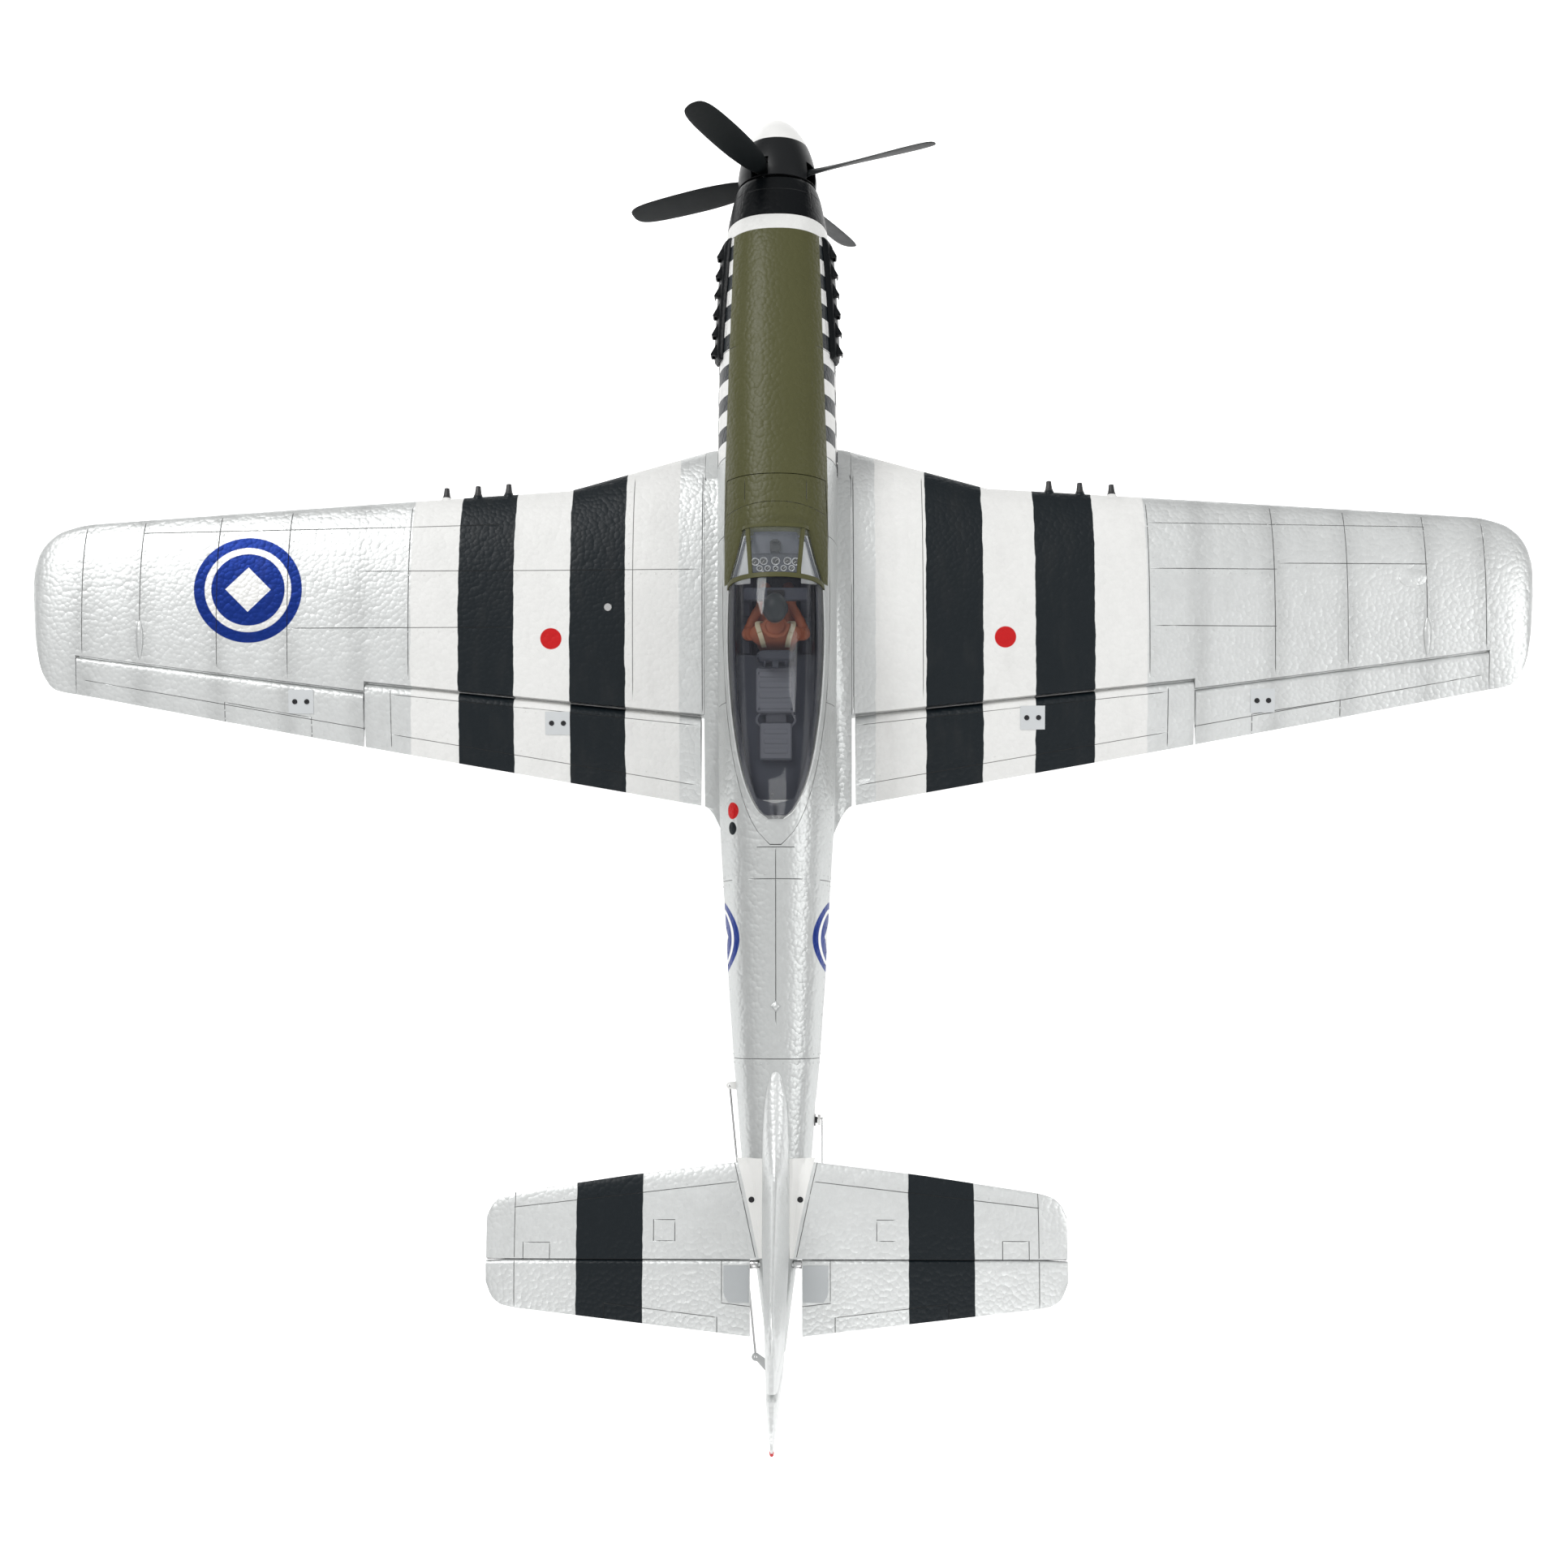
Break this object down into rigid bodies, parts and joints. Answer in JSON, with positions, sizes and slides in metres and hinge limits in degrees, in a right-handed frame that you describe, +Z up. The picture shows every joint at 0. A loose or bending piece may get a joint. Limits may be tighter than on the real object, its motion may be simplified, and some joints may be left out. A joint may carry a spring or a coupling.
{
  "type": "rc warbird plane",
  "caption": "Radio-controlled foam warbird with retracting gear, control surfaces, propeller and lift-off cockpit hatch.",
  "frame": {"origin": "middle of the bounding box, on the ground under the tyres", "axes": "+X to the right wing tip, +Y forward to the propeller, +Z up; the aircraft stands nose-up on its three wheels"},
  "size_m": [1.2, 1.0338, 0.4],
  "materials": {
    "foam_silver": "satin silver paint on bead foam",
    "foam_black": "satin black paint on bead foam",
    "plastic_black": "satin",
    "plastic_white": "satin",
    "clear_canopy": "clear gloss",
    "cockpit_grey": "matte",
    "pilot_brown": "matte",
    "tyre_black": "matte",
    "steel_wire": "bright",
    "alloy": "satin",
    "carbon": "satin",
    "battery_wrap": "gloss"
  },
  "bodies": {
    "airframe": {"fuselage_left": "foam_silver", "fuselage_right": "foam_silver", "nose_cowl": "foam_black", "motor_stator": "alloy", "speed_controller": "plastic_black", "battery_pack": "battery_wrap", "receiver": "plastic_black", "wing_left": "foam_silver", "wing_right": "foam_silver", "wing_spar_tube": "carbon", "radiator_scoop": "foam_silver", "exhaust_left": "foam_black", "exhaust_right": "foam_black", "fin": "foam_silver", "stabilizer": "foam_silver", "retract_unit_left": "plastic_black", "retract_unit_right": "plastic_black", "aileron_right_servo": "plastic_black", "aileron_left_servo": "plastic_black", "flap_right_servo": "plastic_black", "flap_left_servo": "plastic_black", "elevator_servo": "plastic_black", "rudder_servo": "plastic_black"},
    "drive": {"motor_bell": "alloy", "propeller": "plastic_black", "spinner": "foam_black"},
    "hatch": {"hatch_deck": "foam_silver", "cockpit_tub": "cockpit_grey", "pilot": "pilot_brown", "canopy_glass": "clear_canopy"},
    "aileron_right": {"aileron_right": "foam_silver", "aileron_right_horn": "plastic_black"},
    "aileron_right_arm": {"aileron_right_arm": "plastic_white"},
    "aileron_right_rod": {"aileron_right_rod": "steel_wire"},
    "aileron_left": {"aileron_left": "foam_silver", "aileron_left_horn": "plastic_black"},
    "aileron_left_arm": {"aileron_left_arm": "plastic_white"},
    "aileron_left_rod": {"aileron_left_rod": "steel_wire"},
    "flap_right": {"flap_right": "foam_silver", "flap_right_horn": "plastic_black"},
    "flap_right_arm": {"flap_right_arm": "plastic_white"},
    "flap_right_rod": {"flap_right_rod": "steel_wire"},
    "flap_left": {"flap_left": "foam_silver", "flap_left_horn": "plastic_black"},
    "flap_left_arm": {"flap_left_arm": "plastic_white"},
    "flap_left_rod": {"flap_left_rod": "steel_wire"},
    "elevator": {"elevator": "foam_silver", "elevator_horn": "plastic_black"},
    "elevator_arm": {"elevator_arm": "plastic_white"},
    "elevator_rod": {"elevator_rod": "steel_wire"},
    "rudder": {"rudder": "foam_silver", "rudder_horn": "plastic_black"},
    "rudder_arm": {"rudder_arm": "plastic_white"},
    "rudder_rod": {"rudder_rod": "steel_wire"},
    "gear_left": {"gear_leg_left": "alloy"},
    "wheel_left": {"wheel_left": "tyre_black"},
    "gear_right": {"gear_leg_right": "alloy"},
    "wheel_right": {"wheel_right": "tyre_black"},
    "tail_steering": {"tail_leg": "alloy"},
    "tail_wheel": {"tail_wheel": "tyre_black"}
  },
  "joints": [
    {"name": "propeller_spin", "type": "hinge", "parent": "airframe", "child": "drive", "pos_m": [0, 0.46615, 0.27554], "axis": [0, 0.9767, 0.2146], "continuous": true},
    {"name": "hatch_lift", "type": "slide", "parent": "airframe", "child": "hatch", "axis": [0, -0.2146, 0.9767], "range_m": [0, 0.12]},
    {"name": "aileron_left_hinge", "type": "hinge", "parent": "airframe", "child": "aileron_left", "pos_m": [-0.384, 0.05592, 0.1687], "axis": [-0.9885, 0.1027, 0.111], "range_deg": [-25, 25]},
    {"name": "aileron_right_hinge", "type": "hinge", "parent": "airframe", "child": "aileron_right", "pos_m": [0.391, 0.05664, 0.16949], "axis": [0.9885, 0.1027, 0.111], "range_deg": [-25, 25]},
    {"name": "flap_left_hinge", "type": "hinge", "parent": "airframe", "child": "flap_left", "pos_m": [-0.178, 0.04426, 0.1481], "axis": [-0.9909, 0.0825, 0.1068], "range_deg": [-40, 0]},
    {"name": "flap_right_hinge", "type": "hinge", "parent": "airframe", "child": "flap_right", "pos_m": [0.205, 0.04651, 0.15101], "axis": [0.9909, 0.0825, 0.1068], "range_deg": [0, 40]},
    {"name": "elevator_hinge", "type": "hinge", "parent": "airframe", "child": "elevator", "pos_m": [0, -0.38742, 0.11564], "axis": [1, 0, 0], "range_deg": [-25, 25]},
    {"name": "rudder_hinge", "type": "hinge", "parent": "airframe", "child": "rudder", "pos_m": [0, -0.45259, 0.07675], "axis": [0, 0.2146, -0.9767], "range_deg": [-30, 30]},
    {"name": "aileron_right_arm_pivot", "type": "hinge", "parent": "airframe", "child": "aileron_right_arm", "pos_m": [0.38482, 0.10521, 0.17961], "axis": [0.9885, 0.1027, 0.111], "range_deg": [-25, 25]},
    {"name": "aileron_right_rod_pivot", "type": "hinge", "parent": "aileron_right_arm", "child": "aileron_right_rod", "pos_m": [0.38621, 0.10863, 0.16404], "axis": [0.9885, 0.1027, 0.111], "range_deg": [-25, 25]},
    {"name": "aileron_left_arm_pivot", "type": "hinge", "parent": "airframe", "child": "aileron_left_arm", "pos_m": [-0.37782, 0.10449, 0.17882], "axis": [-0.9885, 0.1027, 0.111], "range_deg": [-25, 25]},
    {"name": "aileron_left_rod_pivot", "type": "hinge", "parent": "aileron_left_arm", "child": "aileron_left_rod", "pos_m": [-0.37921, 0.10791, 0.16325], "axis": [-0.9885, 0.1027, 0.111], "range_deg": [-25, 25]},
    {"name": "flap_right_arm_pivot", "type": "hinge", "parent": "airframe", "child": "flap_right_arm", "pos_m": [0.19922, 0.10103, 0.16246], "axis": [0.9909, 0.0825, 0.1068], "range_deg": [0, 40]},
    {"name": "flap_right_rod_pivot", "type": "hinge", "parent": "flap_right_arm", "child": "flap_right_rod", "pos_m": [0.20097, 0.1053, 0.14301], "axis": [0.9909, 0.0825, 0.1068], "range_deg": [-40, 0]},
    {"name": "flap_left_arm_pivot", "type": "hinge", "parent": "airframe", "child": "flap_left_arm", "pos_m": [-0.17222, 0.09878, 0.15955], "axis": [-0.9909, 0.0825, 0.1068], "range_deg": [-40, 0]},
    {"name": "flap_left_rod_pivot", "type": "hinge", "parent": "flap_left_arm", "child": "flap_left_rod", "pos_m": [-0.17397, 0.10305, 0.14009], "axis": [-0.9909, 0.0825, 0.1068], "range_deg": [0, 40]},
    {"name": "elevator_arm_pivot", "type": "hinge", "parent": "airframe", "child": "elevator_arm", "pos_m": [0.033, -0.28014, 0.11669], "axis": [1, 0, 0], "range_deg": [-25, 25]},
    {"name": "elevator_rod_pivot", "type": "hinge", "parent": "elevator_arm", "child": "elevator_rod", "pos_m": [0.033, -0.27671, 0.10106], "axis": [1, 0, 0], "range_deg": [-25, 25]},
    {"name": "rudder_arm_pivot", "type": "hinge", "parent": "airframe", "child": "rudder_arm", "pos_m": [-0.0205, -0.25432, 0.12031], "axis": [0, 0.2146, -0.9767], "range_deg": [-30, 30]},
    {"name": "rudder_rod_pivot", "type": "hinge", "parent": "rudder_arm", "child": "rudder_rod", "pos_m": [-0.0365, -0.25432, 0.12031], "axis": [0, 0.2146, -0.9767], "range_deg": [-30, 30]},
    {"name": "gear_left_retract", "type": "hinge", "parent": "airframe", "child": "gear_left", "pos_m": [-0.19, 0.18509, 0.17078], "axis": [0, -0.9767, -0.2146], "range_deg": [0, 85]},
    {"name": "gear_right_retract", "type": "hinge", "parent": "airframe", "child": "gear_right", "pos_m": [0.19, 0.18509, 0.17078], "axis": [0, 0.9767, 0.2146], "range_deg": [0, 85]},
    {"name": "wheel_left_spin", "type": "hinge", "parent": "gear_left", "child": "wheel_left", "pos_m": [-0.175, 0.2147, 0.036], "axis": [1, 0, 0], "continuous": true},
    {"name": "wheel_right_spin", "type": "hinge", "parent": "gear_right", "child": "wheel_right", "pos_m": [0.175, 0.2147, 0.036], "axis": [1, 0, 0], "continuous": true},
    {"name": "tail_steer", "type": "hinge", "parent": "airframe", "child": "tail_steering", "pos_m": [0, -0.33123, 0.06963], "axis": [0, 0.2146, -0.9767], "range_deg": [-30, 30]},
    {"name": "tail_wheel_spin", "type": "hinge", "parent": "tail_steering", "child": "tail_wheel", "pos_m": [0, -0.32801, 0.013], "axis": [1, 0, 0], "continuous": true}
  ],
  "couplings": [
    {"joint": "aileron_right_hinge", "follows": "aileron_left_hinge", "ratio": 1},
    {"joint": "flap_right_hinge", "follows": "flap_left_hinge", "ratio": -1},
    {"joint": "aileron_right_arm_pivot", "follows": "aileron_left_hinge", "ratio": 1},
    {"joint": "aileron_right_rod_pivot", "follows": "aileron_left_hinge", "ratio": -1},
    {"joint": "aileron_left_arm_pivot", "follows": "aileron_left_hinge", "ratio": 1},
    {"joint": "aileron_left_rod_pivot", "follows": "aileron_left_hinge", "ratio": -1},
    {"joint": "flap_right_arm_pivot", "follows": "flap_left_hinge", "ratio": -1},
    {"joint": "flap_right_rod_pivot", "follows": "flap_left_hinge", "ratio": 1},
    {"joint": "flap_left_arm_pivot", "follows": "flap_left_hinge", "ratio": 1},
    {"joint": "flap_left_rod_pivot", "follows": "flap_left_hinge", "ratio": -1},
    {"joint": "elevator_arm_pivot", "follows": "elevator_hinge", "ratio": 1},
    {"joint": "elevator_rod_pivot", "follows": "elevator_hinge", "ratio": -1},
    {"joint": "rudder_arm_pivot", "follows": "rudder_hinge", "ratio": 1},
    {"joint": "rudder_rod_pivot", "follows": "rudder_hinge", "ratio": -1},
    {"joint": "gear_right_retract", "follows": "gear_left_retract", "ratio": 1},
    {"joint": "tail_steer", "follows": "rudder_hinge", "ratio": 1}
  ]
}
